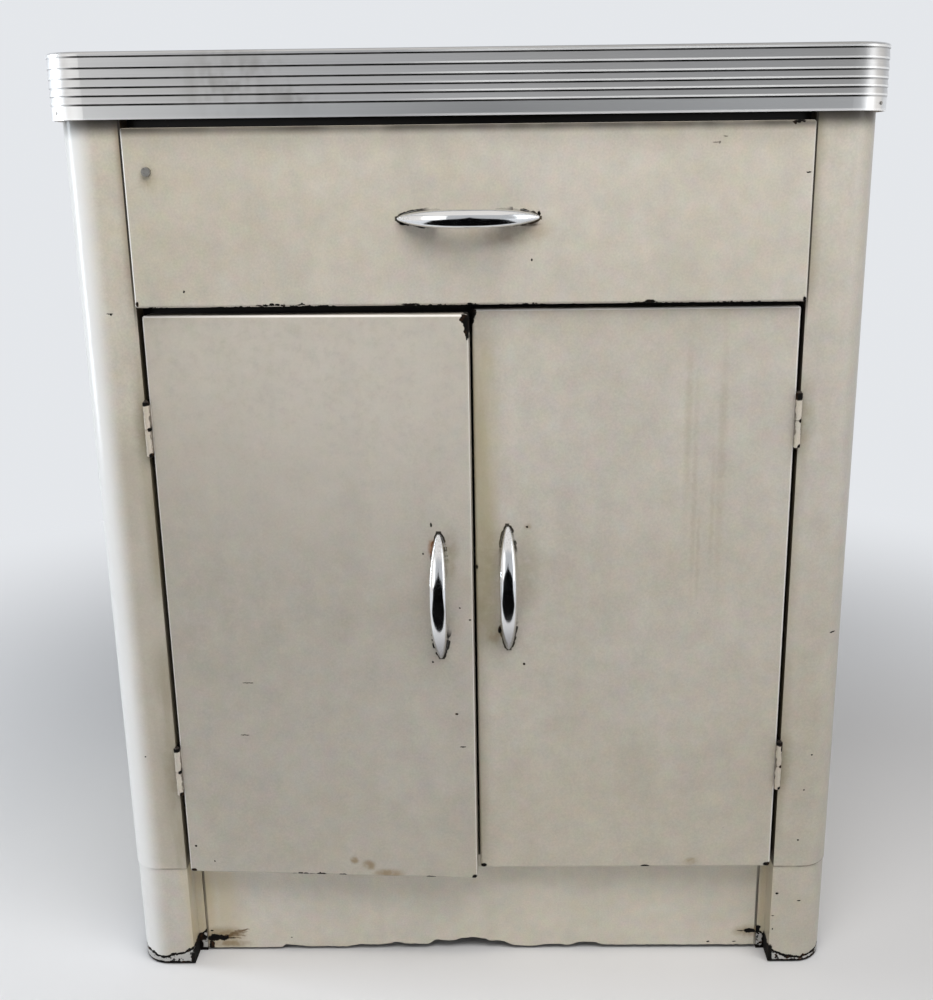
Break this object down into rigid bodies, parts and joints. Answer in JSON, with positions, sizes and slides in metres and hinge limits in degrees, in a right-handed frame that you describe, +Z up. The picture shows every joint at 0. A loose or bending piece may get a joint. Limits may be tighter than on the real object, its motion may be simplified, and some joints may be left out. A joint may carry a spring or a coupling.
{
  "type": "kitchen base cabinet",
  "caption": "Free-standing painted steel base cabinet with rounded corners, a wide drawer over a pair of hinged doors, bow pulls, a toe-kick and a ribbed metal worktop edge.",
  "frame": {"origin": "bottom centre of the part's box, on the floor, with the left door and the drawer a little open, as they rest", "axes": "+Z up, +X to the right seen from the front, +Y to the back; the front faces -Y"},
  "size_m": [0.742, 0.5406, 0.914],
  "materials": {
    "enamel": "worn gloss enamel",
    "hinge_enamel": "overpainted steel",
    "chrome": "polished",
    "edge_aluminium": "satin",
    "plain_steel": "dull zinc",
    "worktop_wood": "bare",
    "linoleum": "satin",
    "fibre_pad": "fibrous",
    "rubber": "matte"
  },
  "bodies": {
    "cabinet": {"back_panel": "enamel", "base_bolts": "plain_steel", "catch_clips": "plain_steel", "countertop_battens": "worktop_wood", "countertop_core": "worktop_wood", "countertop_linoleum": "linoleum", "countertop_screws": "plain_steel", "door_bumpers": "rubber", "drawer_rail": "enamel", "edge_band": "edge_aluminium", "edge_band_pins": "plain_steel", "floor_pan": "enamel", "hinge_frame_rivets": "plain_steel", "left_base_end": "enamel", "left_drawer_runner": "enamel", "left_hinge_pins": "plain_steel", "left_lower_frame_leaf": "hinge_enamel", "left_side_panel": "enamel", "left_upper_frame_leaf": "hinge_enamel", "rear_base_rail": "enamel", "right_base_end": "enamel", "right_drawer_runner": "enamel", "right_hinge_pins": "plain_steel", "right_lower_frame_leaf": "hinge_enamel", "right_side_panel": "enamel", "right_upper_frame_leaf": "hinge_enamel", "shelf": "enamel", "shelf_cleats": "enamel", "toe_kick_panel": "enamel", "top_front_rail": "enamel", "top_rear_rail": "enamel"},
    "left_door": {"left_door_skin": "enamel", "left_door_liner": "enamel", "left_door_pad": "fibre_pad", "left_hinge_rivets": "plain_steel", "left_door_pull": "chrome", "left_pull_screws": "plain_steel", "left_catch_strike": "plain_steel", "left_upper_door_leaf": "hinge_enamel", "left_lower_door_leaf": "hinge_enamel"},
    "right_door": {"right_door_skin": "enamel", "right_door_liner": "enamel", "right_door_pad": "fibre_pad", "right_hinge_rivets": "plain_steel", "right_door_pull": "chrome", "right_pull_screws": "plain_steel", "right_catch_strike": "plain_steel", "right_upper_door_leaf": "hinge_enamel", "right_lower_door_leaf": "hinge_enamel"},
    "drawer": {"drawer_back": "enamel", "drawer_bottom": "enamel", "drawer_front_liner": "enamel", "drawer_front_skin": "enamel", "drawer_left_side": "enamel", "drawer_pull": "chrome", "drawer_pull_screws": "plain_steel", "drawer_right_side": "enamel", "drawer_slides": "enamel", "drawer_stop_bolt": "plain_steel"}
  },
  "joints": [
    {"name": "drawer_slide", "type": "slide", "parent": "cabinet", "child": "drawer", "axis": [0, -1, 0], "range_m": [-0.0075, 0.3525]},
    {"name": "left_door_hinge", "type": "hinge", "parent": "cabinet", "child": "left_door", "pos_m": [-0.3016, -0.23281, 0.4], "axis": [0, 0, -1], "range_deg": [-2.9, 165]},
    {"name": "right_door_hinge", "type": "hinge", "parent": "cabinet", "child": "right_door", "pos_m": [0.3016, -0.23281, 0.4], "axis": [0, 0, 1], "range_deg": [0, 168]}
  ]
}
